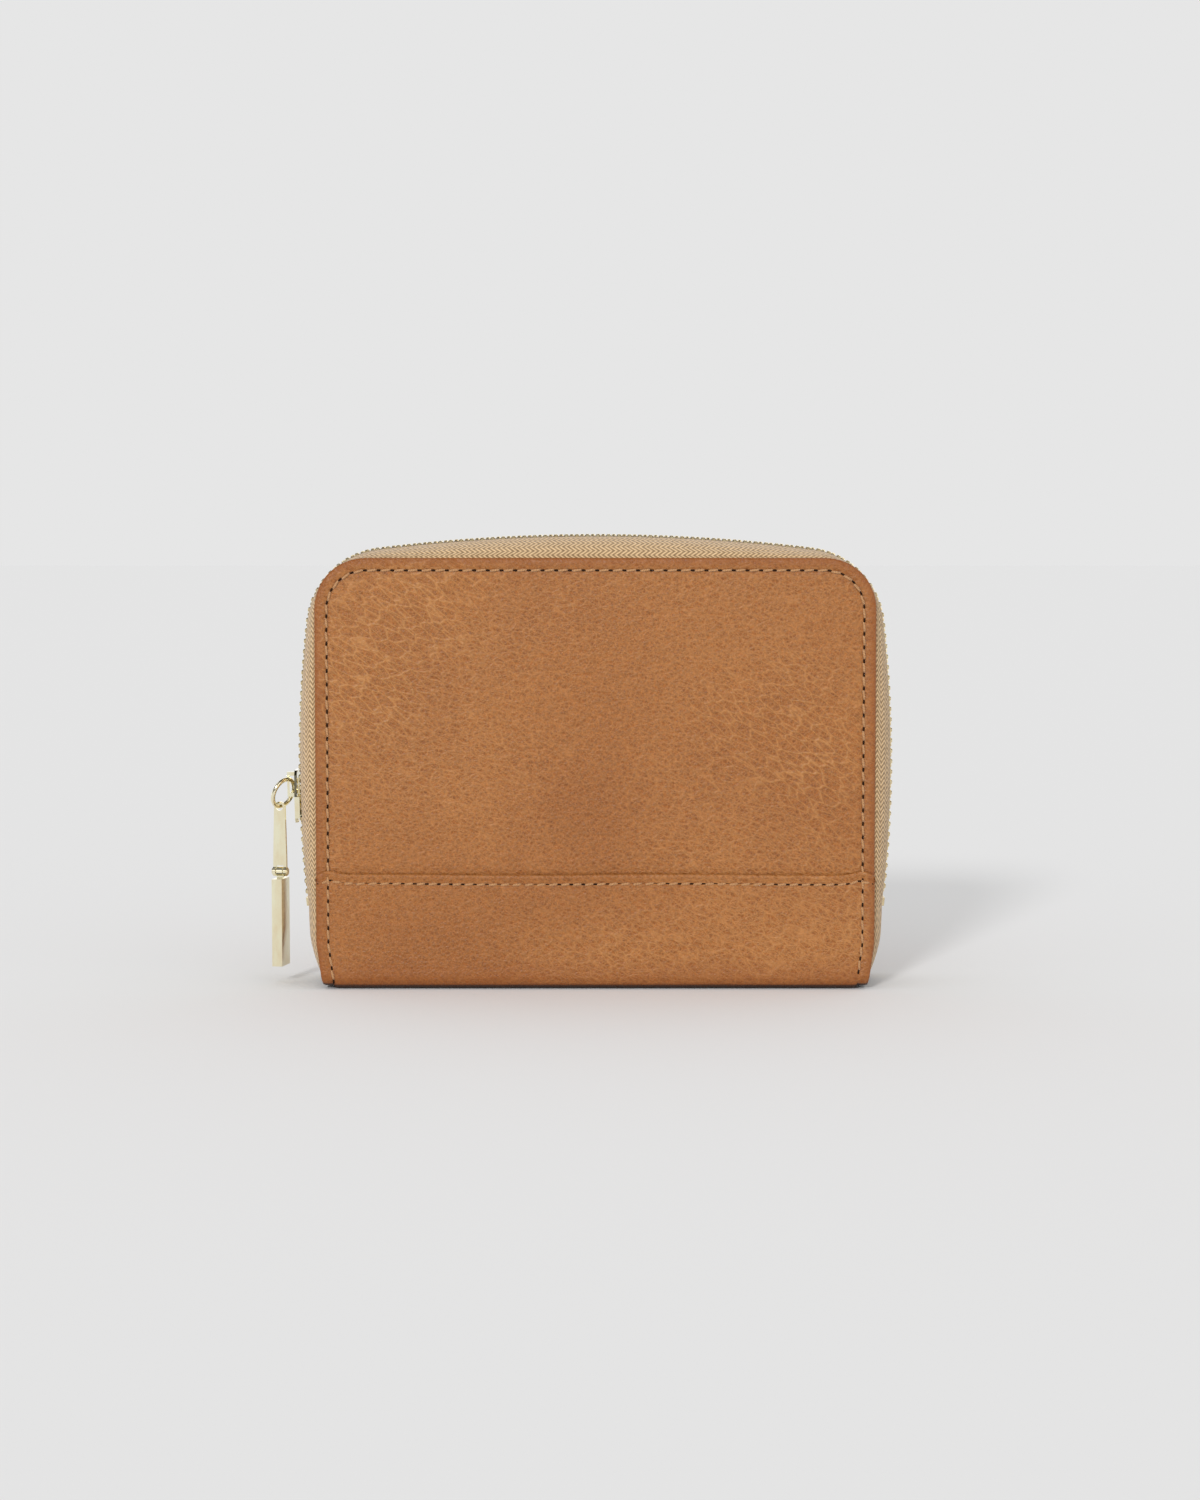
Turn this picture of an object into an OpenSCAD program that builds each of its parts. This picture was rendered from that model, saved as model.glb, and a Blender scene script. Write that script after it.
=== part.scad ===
// Compact zip around wallet: two leather covers on a common spine, a metal zip
// round three sides with a ring-hung pull, card slots and a zipped coin pocket.
// X is the width, Y runs from the front (-Y) to the back, Z is up.
// The origin is the centre of the face that the wallet stands on.

/* [Covers] */
// Width of each cover
panel_w = 132; // [110:1:160]
// Height of each cover
panel_h = 102; // [90:1:125]
// Radius of the upper corners
corner_r = 12; // [8:0.5:16]
// Depth over the two covers, leather to leather
depth = 26; // [24:0.5:32]
// Width at the bottom edge
bottom_w = 129; // [106:1:157]
// Height over which the sides taper to the bottom width
taper_h = 11; // [8:0.5:14]
// Thickness of the leather
leather_t = 1.2; // [0.9:0.1:1.4]
// Thickness of the stiffening boards
board_t = 1.0; // [0.8:0.1:1.2]
// Thickness of the lining
lining_t = 0.6; // [0.4:0.1:0.8]
// Height of the fold of the lower band above the standing face
band_h = 27.8; // [20:0.2:36]
// How far the lower band stands proud of the cover above it
band_step = 0.5; // [0.3:0.1:0.8]
// Height of the band's folded lip over the cover
band_lap = 2; // [1:0.1:4]
// Distance of the boards and linings from the cover's edge
board_inset = 3.2; // [2.6:0.1:5]

/* [Main zip] */
// Pitch of the teeth
tooth_pitch = 2.5; // [2.2:0.1:3]
// Length of a tooth along the chain
tooth_len = 1.2; // [0.9:0.1:1.4]
// Thickness of a tooth
tooth_t = 1.8; // [1.4:0.1:2]
// Width of a tooth from the tape towards the middle
tooth_w = 1.5; // [1:0.1:2]
// Half of the gap between the two rows
row_gap = 0.4; // [0.35:0.05:0.6]
// Thickness of the zip tape
tape_t = 0.5; // [0.4:0.05:0.6]
// Stand-out of the chain beyond the cover's side
side_bulge = 4.2; // [2:0.1:6]
// Height at which the sides stand out furthest
side_mid = 52; // [44:1:56]
// Stand-out of the chain above the cover's top at the middle
top_bulge = 4.7; // [2:0.1:6]
// Radius of the chain's long curve down each side
side_r = 300; // [240:5:380]
// Radius of the chain's long curve over the top
top_r = 420; // [340:5:520]
// Radius of the chain round the corners
chain_corner_r = 19; // [15:1:22]
// Height at which the teeth end
teeth_end_z = 19; // [16:0.5:22]
// Height at which the tapes tuck in under the covers
tape_end_z = 11.5; // [11:0.5:15]

/* [Slider and pull] */
// Height of the slider's centre
slider_z = 45; // [41:0.5:60]
// Length of the slider along the chain
slider_len = 12.4; // [10:0.2:14]
// Width of the slider across the chain
slider_w = 9.4; // [9:0.1:11]
// Thickness of the slider's two plates
plate_t = 0.6; // [0.5:0.05:0.8]
// Clear gap between the teeth and the plates
slide_gap = 0.15; // [0.1:0.01:0.3]
// Clear height under the slider's bridge
bridge_gap = 1.5; // [1.4:0.1:2.2]
// Thickness of the bridge
bridge_t = 0.55; // [0.5:0.05:0.8]
// Width of the bridge
bridge_w = 0.9; // [0.8:0.05:1]
// Mean radius of the jump ring
ring_r = 3.5; // [3.4:0.1:3.8]
// Radius of the ring's wire
wire_r = 0.5; // [0.4:0.02:0.52]
// Length of the link from its hole to the pull's pin
link_l = 15.5; // [10:0.5:18]
// Width of the link at its foot
link_w = 3.3; // [2.8:0.1:4]
// Thickness of the link
link_t = 0.8; // [0.6:0.1:1]
// Radius of the link's hole
link_hole_r = 0.85; // [0.8:0.05:1]
// Radius of the link's head
link_head_r = 1.35; // [1.3:0.05:1.6]
// Radius of the pull's pin
pin_r = 0.5; // [0.4:0.05:0.6]
// Radius of the knuckles round the pin
knuckle_r = 1.15; // [1:0.05:1.4]
// Length of the pull's bar
bar_l = 21; // [16:0.5:21]
// Width of the pull's bar
bar_w = 6; // [4.5:0.1:7]
// Thickness of the pull's bar
bar_t = 2.5; // [1.6:0.1:2.8]

/* [Inside] */
// Width of the card slots
slot_w = 92; // [88:1:94]
// Top of the tallest card slot
slot_top = 66; // [58:1:72]
// Step from one slot's top to the next
slot_step = 12; // [8:1:14]
// Top of the tall note pocket
note_top = 78; // [70:1:82]
// Step down to the top of the low note pocket
note_step = 16; // [8:1:24]
// Thickness of a slot's sheet
slot_t = 0.4; // [0.3:0.05:0.45]
// Room for a card behind each slot's sheet
slot_room = 0.3; // [0.3:0.05:0.35]
// Width of the coin pocket
coin_w = 94; // [70:1:95]
// Top of the coin pocket's walls
coin_h = 80; // [60:1:84]
// Clear depth inside the coin pocket
coin_gap = 4.4; // [4.2:0.1:4.6]
// Thickness of the coin pocket's walls
coin_t = 0.7; // [0.5:0.05:0.8]
// Pitch of the coin zip's teeth
coin_pitch = 2; // [1.8:0.1:2.5]

/* [Hidden] */
$fn = 48;

leather = [0.66, 0.44, 0.27];
lining = [0.80, 0.70, 0.56];
tape = [0.76, 0.65, 0.50];
gold = [0.90, 0.82, 0.62];
card = [0.55, 0.50, 0.44];

side = panel_w / 2;                     // half the cover's width
face = depth / 2;                       // outer face of a cover
in_leather = face - leather_t;          // inner face of the leather
in_board = in_leather - board_t;        // inner face of the board
in_lining = in_board - lining_t;        // inner face of the lining
band_face = face + band_step;           // outer face of the band
spine_t = leather_t;                    // the spine's leather lies on the floor
lift = 0.3;                             // clear gap between pieces that move apart
band_foot = spine_t + lift;             // foot of the front band
board_foot = 4;                         // foot of the boards and linings
spine_half = in_lining - 0.4;           // half depth of the spine's board
spine_end = band_face - lift;           // front edge of the spine strip
flange = 1.2;                           // side flanges of the covers beyond the spine strip

// The chain: a long curve over the top, a corner and a long curve down the side.
side_c = [side + side_bulge - side_r, side_mid];
top_c = [0, panel_h + top_bulge - top_r];
reach_side = side_r - chain_corner_r;
reach_top = top_r - chain_corner_r;
apart = norm(side_c - top_c);
along = (reach_side * reach_side - reach_top * reach_top + apart * apart) / (2 * apart);
across = sqrt(reach_side * reach_side - along * along);
toward = (top_c - side_c) / apart;
corner_c = side_c + along * toward + across * [-toward[1], toward[0]];
top_a = atan2(corner_c[1] - top_c[1], corner_c[0] - top_c[0]);
side_a = atan2(corner_c[1] - side_c[1], corner_c[0] - side_c[0]);
end_a = asin((teeth_end_z - side_c[1]) / side_r);
rad = PI / 180;
top_len = (90 - top_a) * rad * top_r;
corner_len = (top_a - side_a) * rad * chain_corner_r;
side_len = (side_a - end_a) * rad * side_r;
chain_len = top_len + corner_len + side_len;

function on_arc(c, r, a) = [c[0] + r * cos(a), c[1] + r * sin(a), a];
// Point and outward angle of the right half of the chain, s from the crest.
function chain(s) = s < top_len ? on_arc(top_c, top_r, 90 - s / top_r / rad)
    : s < top_len + corner_len ?
        on_arc(corner_c, chain_corner_r, top_a - (s - top_len) / chain_corner_r / rad)
    : on_arc(side_c, side_r, side_a - (s - top_len - corner_len) / side_r / rad);

// Outline of a cover, drawn in from its edge by d.
function arc(c, r, a0, a1, n) = [for (i = [0:n]) let (a = a0 + (a1 - a0) * i / n) c + r * [cos(a), sin(a)]];
function half_at(z) = z > taper_h ? side : bottom_w / 2 + (side - bottom_w / 2) * z / taper_h;
function outline(d, foot) = concat(
    [[-half_at(foot) + d, foot], [half_at(foot) - d, foot], [half_at(taper_h) - d, max(taper_h, foot)]],
    arc([side - corner_r, panel_h - corner_r], corner_r - d, 0, 90, 12),
    arc([corner_r - side, panel_h - corner_r], corner_r - d, 90, 180, 12),
    [[d - half_at(taper_h), max(taper_h, foot)]]);

// A plate in the XZ plane from depth y0 to y1 on the front side.
module plate(y0, y1, d, foot)
    translate([0, -y1, 0]) rotate([90, 0, 0]) mirror([0, 0, 1])
        linear_extrude(y1 - y0) polygon(outline(d, foot));

module block(lo, hi) translate(lo) cube(hi - lo);
module back() mirror([0, 1, 0]) children();

// Leather covers
module cover_panel() color(leather) plate(in_leather, face, 0, band_h - band_lap);

module cover_band(foot) color(leather) intersection() {
    plate(in_leather, band_face, 0, foot);
    union() {
        block([-side, -band_face, foot], [side, -in_leather, band_h - band_lap]);
        block([-side, -band_face, foot], [side, -face, band_h]);
    }
}

module cover_board() color(card) plate(in_board, in_leather, board_inset, board_foot);
module cover_lining() color(lining) plate(in_lining, in_board, board_inset, board_foot);

module spine_strip() color(leather)
    block([flange - bottom_w / 2, -spine_end, 0], [bottom_w / 2 - flange, band_face, spine_t]);

// The board sits between the linings of the two covers, with the lining laid over it.
spine_x = bottom_w / 2 - board_inset;
module spine_board() color(card)
    block([-spine_x, -spine_half, spine_t], [spine_x, spine_half, spine_t + board_t]);
module spine_lining() color(lining)
    block([-spine_x, -spine_half, spine_t + board_t], [spine_x, spine_half, spine_t + board_t + lining_t]);

// Pockets: a sheet on a welt that closes its sides and foot.
module pocket(y, w, foot, top, welt, room, t) {
    block([-w / 2, y, foot], [w / 2, y + t, top]);
    difference() {
        block([-w / 2, y - room, foot], [w / 2, y, top]);
        block([welt - w / 2, y - room - 1, foot + welt], [w / 2 - welt, y + 1, top + 1]);
    }
}

slot_welt = 2.5;
slot_foot = 6;
module card_slot(k) color(leather)
    pocket(-in_lining + slot_room + k * (slot_room + slot_t), slot_w, slot_foot,
        slot_top - k * slot_step, slot_welt, slot_room, slot_t);

module note_pocket(k, top) color(lining) back()
    pocket(-in_lining + slot_room + k * (slot_room + slot_t), 2 * gusset_in, slot_foot, top,
        slot_welt, slot_room, slot_t);

// Zip tape: lofted from under the cover's edge to the chain.
seam = 3;          // seam allowance under the leather
edge_tuck = 0.4;   // the tape leaves the leather this far inside the edge or the chain
top_n = 12;
corner_n = 12;
side_n = 16;
tail_n = 6;
curve_n = 6;
tape_y = in_leather;
chain_y = row_gap + tooth_w;
function mix(a, b, f) = a + (b - a) * f;
// Station k of the right half: [edge point, normal angle of the edge, chain point, chain angle].
function station(k) = k <= top_n ?
        let (f = k / top_n) [[(side - corner_r) * f, panel_h], 90, chain(top_len * f)]
    : k <= top_n + corner_n ?
        let (f = (k - top_n) / corner_n, a = 90 * (1 - f))
        [[side - corner_r, panel_h - corner_r] + corner_r * [cos(a), sin(a)], a,
            chain(top_len + corner_len * f)]
    : k <= top_n + corner_n + side_n ?
        let (f = (k - top_n - corner_n) / side_n)
        [[side, mix(panel_h - corner_r, teeth_end_z, f)], 0, chain(top_len + corner_len + side_len * f)]
    : let (a = 90 * (k - top_n - corner_n - side_n) / tail_n, last = chain(chain_len),
           z = mix(teeth_end_z, tape_end_z, sin(a)))
        [[side, z], 0, [mix(side, last[0], cos(a)), z, 0]];
// Cross-section of the tape at a station, outer curve then inner curve.
function section(k) = let (st = station(k), e = st[0], n = [cos(st[1]), sin(st[1])],
        c = [st[2][0], st[2][1]], m = [cos(st[2][2]), sin(st[2][2])],
        sunk = min(max(0, (e - c) * n), seam - 1), e1 = e - (edge_tuck + sunk) * n, e0 = e - seam * n,
        out = c + tape_t / 2 * m)
    concat(
        [[e0[0], -tape_y, e0[1]]],
        [for (j = [0:curve_n]) let (a = 90 * j / curve_n, p = mix(e1, out, sin(a)))
            [p[0], -mix(tape_y, chain_y, 1 - cos(a)), p[1]]],
        [for (j = [curve_n:-1:0]) let (a = 90 * j / curve_n, p = mix(e1, out, sin(a)) - tape_t * sin(a) * m)
            [p[0], -mix(tape_y, chain_y, 1 - cos(a)) + tape_t * cos(a), p[1]]],
        [[e0[0], -tape_y + tape_t, e0[1]]]);
half_n = top_n + corner_n + side_n + tail_n;
ring_n = 2 * curve_n + 4;
module zip_tape() color(tape) polyhedron(
    points = [for (i = [-half_n:half_n]) for (p = section(abs(i))) [i < 0 ? -p[0] : p[0], p[1], p[2]]],
    faces = concat(
        [[for (j = [0:ring_n - 1]) j]],
        [[for (j = [ring_n - 1:-1:0]) 2 * half_n * ring_n + j]],
        [for (i = [0:2 * half_n - 1]) for (j = [0:ring_n - 1]) for (h = [0, 1])
            let (a = i * ring_n + j, b = i * ring_n + (j + 1) % ring_n)
            h == 0 ? [a, b + ring_n, b] : [a, a + ring_n, b + ring_n]]));

// Places children on the chain, +X outward and +Z towards the crest, on both sides.
module on_chain(s) let (p = chain(abs(s))) mirror([s < 0 ? 1 : 0, 0, 0])
    translate([p[0], 0, p[1]]) rotate([0, -p[2], 0]) children();

teeth_n = floor((chain_len - tooth_pitch) / tooth_pitch);
module tooth(len) translate([-tooth_t / 2, -chain_y, -len / 2]) cube([tooth_t, tooth_w, len]);
module zip_teeth(shift) color(gold)
    for (i = [-teeth_n:teeth_n - 1]) on_chain((i + shift) * tooth_pitch) tooth(tooth_len);

stop_len = 2;
stop_s = chain_len - stop_len / 2 + 0.4;
module zip_stops() color(gold) for (s = [-stop_s, stop_s]) on_chain(s) tooth(stop_len);

// Gussets: accordion folds between the covers, beside the coin pocket.
gusset_out = side - 6;
gusset_in = coin_w / 2 + 1.4;
gusset_step = 2;         // the outer pleats stop this far short of the inner one
gusset_half = 0.7;       // half of the pleated sheet's width along X
gusset_top = coin_h + 4;
gusset_y = in_lining - lift;
pleats = 6;
function fold_x(i) = i % 2 == 0 ? gusset_out - gusset_half
    : gusset_half + gusset_in + (i == pleats / 2 ? 0 : gusset_step);
function fold_y(i) = i == pleats ? in_lining : gusset_y * (2 * i / pleats - 1);
module gusset() color(lining) translate([0, 0, board_foot]) linear_extrude(gusset_top - board_foot)
    polygon(concat(
        [for (i = [0:pleats]) [fold_x(i) + gusset_half, fold_y(i)]],
        [for (i = [pleats:-1:0]) [fold_x(i) - gusset_half, fold_y(i)]]));

// Coin pocket
coin_out = coin_gap / 2 + coin_t;
coin_foot = 6;
coin_x = coin_w / 2;
coin_tape_t = 0.5;
coin_tooth_y = 1.3;
coin_row_gap = 0.35;
coin_tooth_t = 1.4;
coin_tooth_len = 0.95;
coin_margin = 6;
coin_zip_z = coin_h + coin_tape_t / 2;
coin_teeth_n = floor((coin_w - 2 * coin_margin) / coin_pitch);
module coin_wall() color(leather) block([-coin_x, -coin_out, coin_foot], [coin_x, -coin_gap / 2, coin_h]);
module coin_side_strip() color(lining) difference() {
    block([-coin_x, -coin_gap / 2, coin_foot], [coin_x, coin_gap / 2, coin_h]);
    block([coin_t - coin_x, -coin_gap, coin_foot + coin_t], [coin_x - coin_t, coin_gap, coin_h + 1]);
}
module coin_zip_tapes() color(tape) for (m = [0, 1]) mirror([0, m, 0])
    block([-coin_x, -coin_out, coin_h], [coin_x, -coin_tooth_y, coin_h + coin_tape_t]);
module coin_zip_teeth() color(gold) for (m = [0, 1]) mirror([0, m, 0]) for (i = [0:coin_teeth_n - 1])
    translate([coin_margin - coin_x + (i + m / 2) * coin_pitch, -coin_tooth_y, coin_zip_z])
        block([0, 0, -coin_tooth_t / 2], [coin_tooth_len, coin_tooth_y - coin_row_gap, coin_tooth_t / 2]);

// Coin zip slider: two plates on a post between the rows, with an ear for the pull.
coin_slide_len = 8;
coin_slide_w = [coin_gap - 2 * lift, 5]; // widths of the lower and upper plates
coin_plate_t = 0.5;
coin_plate_z = coin_tooth_t / 2 + 0.15;
coin_slide_x = coin_slide_len + coin_margin - coin_x;
coin_ear_top = 0.9;      // metal above the pivot
coin_pivot_z = coin_plate_z + coin_plate_t + coin_ear_top;
coin_pivot_r = 0.4;
coin_pivot_fit = 0.08;
coin_post_len = 3;
coin_post_half = 0.2;
ear_w = 1.4;
ear_half = 1;
module at_coin_slider() translate([coin_slide_x, 0, coin_zip_z]) children();
module coin_zip_slider() color(gold) at_coin_slider() {
    for (k = [0, 1]) let (z = k == 0 ? -coin_plate_z - coin_plate_t : coin_plate_z, w = coin_slide_w[k])
        block([-coin_slide_len / 2, -w / 2, z], [coin_slide_len / 2, w / 2, z + coin_plate_t]);
    block([-coin_post_len, -coin_post_half, -coin_plate_z], [0, coin_post_half, coin_plate_z]);
    difference() {
        block([-ear_half, -ear_w / 2, coin_plate_z], [ear_half, ear_w / 2, coin_pivot_z + coin_ear_top]);
        translate([0, 0, coin_pivot_z]) rotate([90, 0, 0])
            cylinder(r = coin_pivot_r + coin_pivot_fit, h = 2 * ear_w, center = true);
    }
}
coin_pull_l = 14;
coin_pull_t = 0.8;
coin_fork_in = ear_w / 2 + 0.25; // inner and outer faces of the pull's fork
coin_fork_out = ear_w / 2 + 1;
coin_fork_l = 1.8;               // clear length of the fork
module coin_zip_pull() color(gold) at_coin_slider() translate([0, 0, coin_pivot_z]) {
    rotate([90, 0, 0]) cylinder(r = coin_pivot_r, h = coin_fork_in + coin_fork_out, center = true);
    difference() {
        block([-coin_pivot_r, -coin_fork_out, -coin_pull_t / 2],
            [coin_pull_l, coin_fork_out, coin_pull_t / 2]);
        block([-coin_pivot_r - 1, -coin_fork_in, -coin_pull_t], [coin_fork_l, coin_fork_in, coin_pull_t]);
    }
}

// Main slider, modelled with -X outward from the chain and turned into place.
slider_a = asin((slider_z - side_c[1]) / side_r);
module at_slider() translate([-side_c[0], 0, side_c[1]]) rotate([0, slider_a, 0])
    translate([-side_r, 0, 0]) children();
plate_in = tooth_t / 2 + slide_gap;
plate_out = plate_in + plate_t;
slot_half = 0.45;
bridge_in = plate_out + bridge_gap;
bridge_out = bridge_in + bridge_t;
leg_z = 0.2;        // height of the lower leg above the slider's centre
leg_h = 0.9;
opening_h = 4.15;   // clear length of the bridge
window_y = 0.55;    // windows in the outer plate beside the bridge, for the ring
window_out = 2.6;
window_foot = 2.8;  // the windows reach this far below the slider's centre
nose = 1.1;         // chamfer of the plates' corners
post_half = 0.2;    // half the thickness of the post between the rows
post_foot = 1;      // distance of the post from the slider's lower end and its centre
lip_gap = 0.2;      // the inner lip is this much shorter than the outer one
lip_foot = nose - slider_len / 2;
module slider_plate(n) translate([-n - plate_t, 0, 0]) rotate([90, 0, 90]) linear_extrude(plate_t)
    polygon([[-slider_w / 2, nose - slider_len / 2], [nose - slider_w / 2, -slider_len / 2],
        [slider_w / 2 - nose, -slider_len / 2], [slider_w / 2, nose - slider_len / 2],
        [slider_w / 2, 0], [slider_w / 2 - nose, slider_len / 2 - nose],
        [slider_w / 2 - 2 * nose, slider_len / 2], [2 * nose - slider_w / 2, slider_len / 2],
        [nose - slider_w / 2, slider_len / 2 - nose], [-slider_w / 2, 0]]);
module slider_body() color(gold) at_slider() {
    difference() {
        slider_plate(plate_in);
        for (m = [0, 1]) mirror([0, m, 0])
            block([-plate_out - 1, window_y, -window_foot], [0, window_out, leg_z + opening_h]);
    }
    slider_plate(-plate_out);
    for (m = [0, 1]) mirror([0, m, 0]) {
        block([-plate_in, slider_w / 2 - plate_t, lip_foot], [-slot_half, slider_w / 2, 0]);
        block([slot_half + lip_gap, slider_w / 2 - plate_t, lip_foot], [plate_in, slider_w / 2, 0]);
    }
    block([-plate_in, -post_half, post_foot - slider_len / 2], [plate_in, post_half, -post_foot]);
    for (z = [leg_z - leg_h / 2, leg_z + leg_h / 2 + opening_h])
        block([-bridge_out, -bridge_w / 2, z], [-plate_out, bridge_w / 2, z + leg_h]);
    block([-bridge_out, -bridge_w / 2, leg_z - leg_h / 2],
        [-bridge_in, bridge_w / 2, leg_z + 1.5 * leg_h + opening_h]);
}

// The jump ring passes under the bridge and round its lower leg.
ring_out = 4.46;   // the ring's centre stands this far outside the chain
ring_front = 1.83; // and this far in front of the middle plane
ring_rise = 0.75;  // and this far above the slider's centre
ring_turn = 54.7;
ring_lean = 23.4;
ring_c = [-side - side_bulge - ring_out, -ring_front, slider_z + ring_rise];
ring_along = [cos(ring_turn), sin(ring_turn), 0];
lean_v = [sin(ring_lean), 0, cos(ring_lean)];
up_raw = lean_v - ring_along * (lean_v * ring_along);
ring_up = up_raw / norm(up_raw);
ring_axis = cross(ring_along, ring_up);
ring_foot = ring_c - ring_r * ring_up;
module jump_ring() color(gold) multmatrix([
        [ring_along[0], ring_up[0], ring_axis[0], ring_c[0]],
        [ring_along[1], ring_up[1], ring_axis[1], ring_c[1]],
        [ring_along[2], ring_up[2], ring_axis[2], ring_c[2]]])
    rotate_extrude() translate([ring_r, 0]) circle(wire_r, $fn = 24);

// The link hangs on the ring's foot, and the bar on the link's pin.
pull_turn = -12;
hang = 0.2;        // the hole's centre hangs this far below the wire
bar_top = 1.6;     // the bar starts this far below the pin
neck_h = 2;        // height of the neck between the bar and its knuckle
neck_t = 1.2;
link_neck = 0.8;   // the link widens down to this share of its length
rivet_h = 0.3;     // height of the pin's riveted heads
rivet_r = 0.3;     // how far they overlap the link
knuckle_rise = 0.5;
module at_link() translate(ring_foot - [0, 0, hang]) rotate([0, 0, pull_turn]) children();
ear_t = 0.7;
knuckle_gap = 0.2;
knuckle_w = link_w - 2 * ear_t - 2 * knuckle_gap;
module pull_link() color(gold) at_link() difference() {
    union() {
        rotate([90, 0, 0]) cylinder(r = link_head_r, h = link_t, center = true);
        translate([0, link_t / 2, 0]) rotate([90, 0, 0]) linear_extrude(link_t) polygon([
            [-link_head_r, 0], [link_head_r, 0],
            [link_w / 2, -link_l * link_neck], [link_w / 2, knuckle_r + lift - link_l],
            [-link_w / 2, knuckle_r + lift - link_l], [-link_w / 2, -link_l * link_neck]]);
        for (s = [-1, 1]) translate([s * (link_w - ear_t) / 2, 0, -link_l]) {
            rotate([0, 90, 0]) cylinder(r = knuckle_r, h = ear_t, center = true);
            block([-ear_t / 2, -link_t / 2, 0], [ear_t / 2, link_t / 2, knuckle_r + knuckle_rise]);
        }
    }
    rotate([90, 0, 0]) cylinder(r = link_hole_r, h = 4, center = true);
    translate([0, 0, -link_l]) rotate([0, 90, 0]) cylinder(r = pin_r, h = 2 * link_w, center = true);
}
module pull_pin() color(gold) at_link() translate([0, 0, -link_l]) rotate([0, 90, 0]) {
    cylinder(r = pin_r, h = link_w, center = true);
    for (s = [-1, 1]) translate([0, 0, s * (link_w + rivet_h) / 2])
        cylinder(r = pin_r + rivet_r, h = rivet_h, center = true);
}
pin_clear = 0.06;
module pull_bar() color(gold) at_link() translate([0, 0, -link_l]) difference() {
    union() {
        rotate([0, 90, 0]) cylinder(r = knuckle_r, h = knuckle_w, center = true);
        translate([0, 0, -neck_t]) cube([knuckle_w, neck_t, neck_h], center = true);
        block([-bar_t / 2, -bar_w / 2, -bar_l - bar_top], [bar_t / 2, bar_w / 2, -bar_top]);
    }
    rotate([0, 90, 0]) cylinder(r = pin_r + pin_clear, h = 2 * link_w, center = true);
}

cover_panel();  // front_panel
cover_band(band_foot);  // front_band
cover_board();  // front_board
cover_lining();  // front_lining
card_slot(0);  // card_slot_1
card_slot(1);  // card_slot_2
card_slot(2);  // card_slot_3
card_slot(3);  // card_slot_4
zip_tape();  // front_zip_tape
zip_teeth(0.25);  // front_zip_teeth
zip_stops();  // front_zip_stops
back() cover_panel();  // back_panel
back() cover_band(spine_t);  // back_band
back() cover_board();  // back_board
back() cover_lining();  // back_lining
note_pocket(0, note_top);  // note_pocket_tall
note_pocket(1, note_top - note_step);  // note_pocket_low
back() zip_tape();  // back_zip_tape
back() zip_teeth(0.75);  // back_zip_teeth
back() zip_stops();  // back_zip_stops
spine_strip();
spine_board();
spine_lining();
mirror([1, 0, 0]) gusset();  // left_gusset
gusset();  // right_gusset
coin_wall();  // coin_front_wall
back() coin_wall();  // coin_back_wall
coin_side_strip();
coin_zip_tapes();
coin_zip_teeth();
coin_zip_slider();
coin_zip_pull();
slider_body();
jump_ring();
pull_link();
pull_pin();
pull_bar();
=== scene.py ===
"""Zip around wallet: leather, woven tape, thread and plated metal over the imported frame."""
import math

import bmesh
import bpy
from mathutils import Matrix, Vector, noise


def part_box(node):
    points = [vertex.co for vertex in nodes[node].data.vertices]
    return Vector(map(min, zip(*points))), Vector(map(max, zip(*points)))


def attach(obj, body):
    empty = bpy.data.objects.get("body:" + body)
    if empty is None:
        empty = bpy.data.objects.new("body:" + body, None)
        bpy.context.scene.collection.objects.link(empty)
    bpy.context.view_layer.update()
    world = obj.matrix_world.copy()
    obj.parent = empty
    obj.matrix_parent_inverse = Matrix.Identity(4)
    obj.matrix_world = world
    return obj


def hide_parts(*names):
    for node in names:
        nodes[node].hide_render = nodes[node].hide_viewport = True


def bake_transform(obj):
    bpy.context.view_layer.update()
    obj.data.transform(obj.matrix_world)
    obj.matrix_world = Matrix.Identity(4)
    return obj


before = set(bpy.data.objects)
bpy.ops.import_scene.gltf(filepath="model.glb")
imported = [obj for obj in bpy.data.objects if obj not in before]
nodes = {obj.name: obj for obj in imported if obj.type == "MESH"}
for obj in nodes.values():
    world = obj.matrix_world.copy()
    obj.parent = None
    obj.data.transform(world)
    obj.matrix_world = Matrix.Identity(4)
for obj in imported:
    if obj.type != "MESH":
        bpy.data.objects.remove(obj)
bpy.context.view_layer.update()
MM = 0.001

# ---------------------------------------------------------------- sizes, in millimetres
lo, hi = (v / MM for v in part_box("front_panel"))
SIDE, PANEL_H = hi.x, hi.z
FACE = -lo.y
INNER_LEATHER = -hi.y
band_lo, band_hi = (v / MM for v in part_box("front_band"))
BAND_H, BAND_FACE = band_hi.z, -band_lo.y
_, strip_hi = (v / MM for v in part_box("spine_strip"))
BOTTOM_HALF = strip_hi.x + 1.2   # half the width at the floor
CORNER_R = 12.0          # top corners of the covers
TAPER_H = 11.0           # the sides draw in below this height
SEAM_IN = 2.9            # the stitch line runs this far inside the edge
STITCH = 3.2             # stitch pitch round the covers
BAND_STITCH = 2.84       # stitch pitch along the band's fold
THREAD_R = 0.30
EDGE_WEAR = 2.6          # a turned edge is darker for this distance
TAPE_W = 11.6            # width of a tape from under the cover to the teeth
TAPE_CORD = 0.7          # width of the corded edge beside the teeth


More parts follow.
